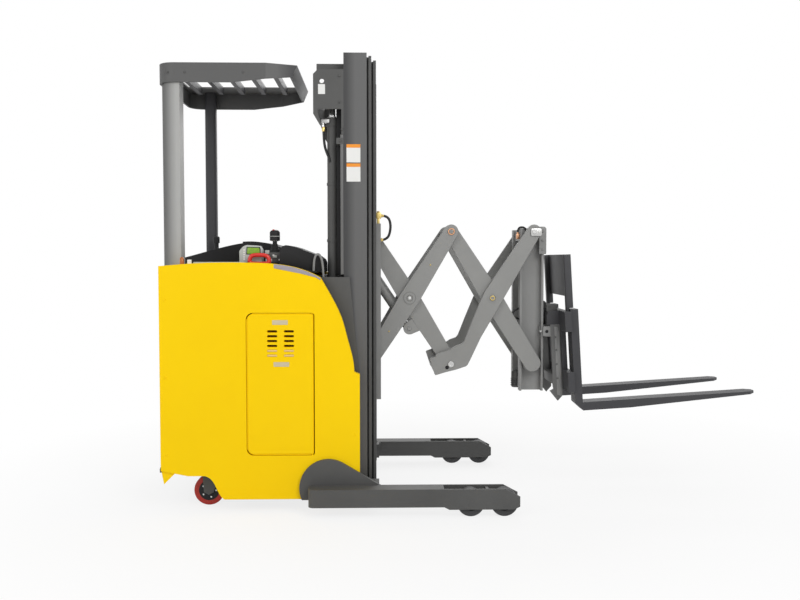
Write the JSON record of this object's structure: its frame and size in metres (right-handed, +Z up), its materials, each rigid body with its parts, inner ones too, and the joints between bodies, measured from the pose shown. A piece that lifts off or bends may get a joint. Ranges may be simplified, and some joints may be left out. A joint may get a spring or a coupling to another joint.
{
  "type": "stand-up reach truck",
  "caption": "Electric stand-up reach truck with straddle legs, a telescopic mast and a double-deep pantograph carrying tilting, side-shifting forks.",
  "frame": {"origin": "on the floor, below the centre of the bounding box", "axes": "+X towards the fork tips, +Y to the truck's left, +Z up"},
  "size_m": [3.199, 1.26, 2.374],
  "materials": {
    "arm_paint": "satin",
    "battery_case": "matt",
    "bezel_plastic": "satin",
    "chrome_rod": "polished",
    "cowl_plastic": "matt",
    "dark_paint": "satin",
    "light_paint": "satin",
    "mat_rubber": "matt",
    "red_plastic": "satin",
    "red_tread": "matt",
    "tread": "matt",
    "yellow_paint": "semi-gloss"
  },
  "bodies": {
    "chassis": {"straddle_legs": "dark_paint", "leg_shields": "dark_paint", "foot_cross": "dark_paint", "foot_arms": "dark_paint", "side_panel_right": "yellow_paint", "side_panel_left": "yellow_paint", "bumper_wedges": "yellow_paint", "platform": "dark_paint", "floor_mat": "mat_rubber", "housing_wall": "dark_paint", "rear_wall": "dark_paint", "dash_wall": "dark_paint", "battery_tray": "dark_paint", "drive_shelf": "dark_paint", "bulkhead": "dark_paint", "mast_supports": "dark_paint", "battery": "battery_case", "cowl": "cowl_plastic", "display_housing": "bezel_plastic", "joystick": "cowl_plastic", "grab_handle": "red_plastic", "guard": "dark_paint", "guard_ribs": "dark_paint", "guard_column_right": "dark_paint", "guard_column_left": "dark_paint", "mast_outer": "dark_paint", "outer_ties": "dark_paint", "head_box": "dark_paint", "lift_barrels": "dark_paint"},
    "service_door": {"service_door": "yellow_paint"},
    "steering_disc": {"steering_disc": "cowl_plastic"},
    "load_wheel_rear_right": {"load_wheel_rear_right": "tread"},
    "load_wheel_rear_left": {"load_wheel_rear_left": "tread"},
    "load_wheel_front_right": {"load_wheel_front_right": "tread"},
    "load_wheel_front_left": {"load_wheel_front_left": "tread"},
    "drive_unit": {"drive_unit": "light_paint"},
    "drive_wheel": {"drive_wheel": "tread"},
    "caster_fork": {"caster_fork": "dark_paint"},
    "caster_wheel": {"caster_wheel": "red_tread"},
    "mast_middle": {"mast_middle": "dark_paint", "middle_ties": "dark_paint", "lift_rods": "chrome_rod"},
    "mast_inner": {"mast_inner": "dark_paint", "inner_ties": "dark_paint"},
    "reach_carriage": {"reach_carriage": "light_paint", "carriage_ties": "light_paint"},
    "arms_first": {"arms_first": "arm_paint"},
    "arms_second": {"arms_second": "arm_paint"},
    "arms_third": {"arms_third": "arm_paint"},
    "arms_fourth": {"arms_fourth": "arm_paint"},
    "front_frame": {"front_frame": "light_paint", "front_ties": "light_paint"},
    "reach_barrels": {"reach_barrels": "dark_paint"},
    "reach_rods": {"reach_rods": "chrome_rod"},
    "tilt_frame": {"tilt_frame": "light_paint"},
    "fork_carriage": {"fork_carriage": "dark_paint", "fork_right": "dark_paint", "fork_left": "dark_paint", "load_backrest": "dark_paint"}
  },
  "joints": [
    {"name": "door_hinge", "type": "hinge", "parent": "chassis", "child": "service_door", "pos_m": [-0.79753, -0.502, 0.664], "axis": [0, 0, 1], "range_deg": [0, 90]},
    {"name": "steering_turn", "type": "hinge", "parent": "chassis", "child": "steering_disc", "pos_m": [-1.35253, 0.265, 1.352], "axis": [0, 0, 1], "continuous": true},
    {"name": "load_wheel_rear_right_spin", "type": "hinge", "parent": "chassis", "child": "load_wheel_rear_right", "pos_m": [0.01347, -0.58, 0.07], "axis": [0, 1, 0], "continuous": true},
    {"name": "load_wheel_rear_left_spin", "type": "hinge", "parent": "chassis", "child": "load_wheel_rear_left", "pos_m": [0.01347, 0.58, 0.07], "axis": [0, 1, 0], "continuous": true},
    {"name": "load_wheel_front_right_spin", "type": "hinge", "parent": "chassis", "child": "load_wheel_front_right", "pos_m": [0.18547, -0.58, 0.07], "axis": [0, 1, 0], "continuous": true},
    {"name": "load_wheel_front_left_spin", "type": "hinge", "parent": "chassis", "child": "load_wheel_front_left", "pos_m": [0.18547, 0.58, 0.07], "axis": [0, 1, 0], "continuous": true},
    {"name": "drive_steer", "type": "hinge", "parent": "chassis", "child": "drive_unit", "pos_m": [-1.32253, 0.29, 0.395], "axis": [0, 0, 1], "range_deg": [-90, 90]},
    {"name": "drive_wheel_spin", "type": "hinge", "parent": "drive_unit", "child": "drive_wheel", "pos_m": [-1.32253, 0.29, 0.15], "axis": [0, 1, 0], "continuous": true},
    {"name": "caster_swivel", "type": "hinge", "parent": "chassis", "child": "caster_fork", "pos_m": [-1.32753, -0.345, 0.2], "axis": [0, 0, 1], "continuous": true},
    {"name": "caster_wheel_spin", "type": "hinge", "parent": "caster_fork", "child": "caster_wheel", "pos_m": [-1.35753, -0.345, 0.08], "axis": [0, 1, 0], "continuous": true},
    {"name": "mast_lift", "type": "slide", "parent": "chassis", "child": "mast_middle", "axis": [0, 0, 1], "range_m": [0, 1.6]},
    {"name": "inner_lift", "type": "slide", "parent": "mast_middle", "child": "mast_inner", "axis": [0, 0, 1], "range_m": [0, 1.6]},
    {"name": "carriage_lift", "type": "slide", "parent": "mast_inner", "child": "reach_carriage", "axis": [0, 0, 1], "range_m": [-0.43, 0.85]},
    {"name": "reach", "type": "hinge", "parent": "reach_carriage", "child": "arms_first", "pos_m": [-0.51253, 0, 1.459], "axis": [0, -1, 0], "range_deg": [-19, 14]},
    {"name": "reach_cross_rear", "type": "hinge", "parent": "arms_first", "child": "arms_second", "pos_m": [-0.28466, 0, 1.09434], "axis": [0, 1, 0], "range_deg": [-38, 28]},
    {"name": "reach_apex", "type": "hinge", "parent": "arms_second", "child": "arms_third", "pos_m": [-0.0568, 0, 1.459], "axis": [0, -1, 0], "range_deg": [-38, 28]},
    {"name": "reach_cross_front", "type": "hinge", "parent": "arms_third", "child": "arms_fourth", "pos_m": [0.17107, 0, 1.09434], "axis": [0, 1, 0], "range_deg": [-38, 28]},
    {"name": "front_frame_pin", "type": "hinge", "parent": "arms_fourth", "child": "front_frame", "pos_m": [0.39893, 0, 1.459], "axis": [0, -1, 0], "range_deg": [-19, 14]},
    {"name": "reach_barrel_swing", "type": "hinge", "parent": "reach_carriage", "child": "reach_barrels", "pos_m": [-0.53753, 0, 1.3], "axis": [0, -1, 0], "range_deg": [-25, 18.5]},
    {"name": "reach_rod_slide", "type": "slide", "parent": "reach_barrels", "child": "reach_rods", "axis": [0.5605, 0, -0.8282], "range_m": [-0.0335, 0.025]},
    {"name": "fork_tilt", "type": "hinge", "parent": "front_frame", "child": "tilt_frame", "pos_m": [0.46693, 0, 0.912], "axis": [0, -1, 0], "range_deg": [-5, 1]},
    {"name": "side_shift", "type": "slide", "parent": "tilt_frame", "child": "fork_carriage", "axis": [0, 1, 0], "range_m": [-0.075, 0.075]}
  ],
  "couplings": [
    {"joint": "inner_lift", "follows": "mast_lift", "ratio": 1},
    {"joint": "reach_cross_rear", "follows": "reach", "ratio": 2},
    {"joint": "reach_apex", "follows": "reach", "ratio": 2},
    {"joint": "reach_cross_front", "follows": "reach", "ratio": 2},
    {"joint": "front_frame_pin", "follows": "reach", "ratio": 1},
    {"joint": "reach_barrel_swing", "follows": "reach", "ratio": 1.28},
    {"joint": "reach_rod_slide", "follows": "reach", "m_per_rad": 0.0984}
  ]
}
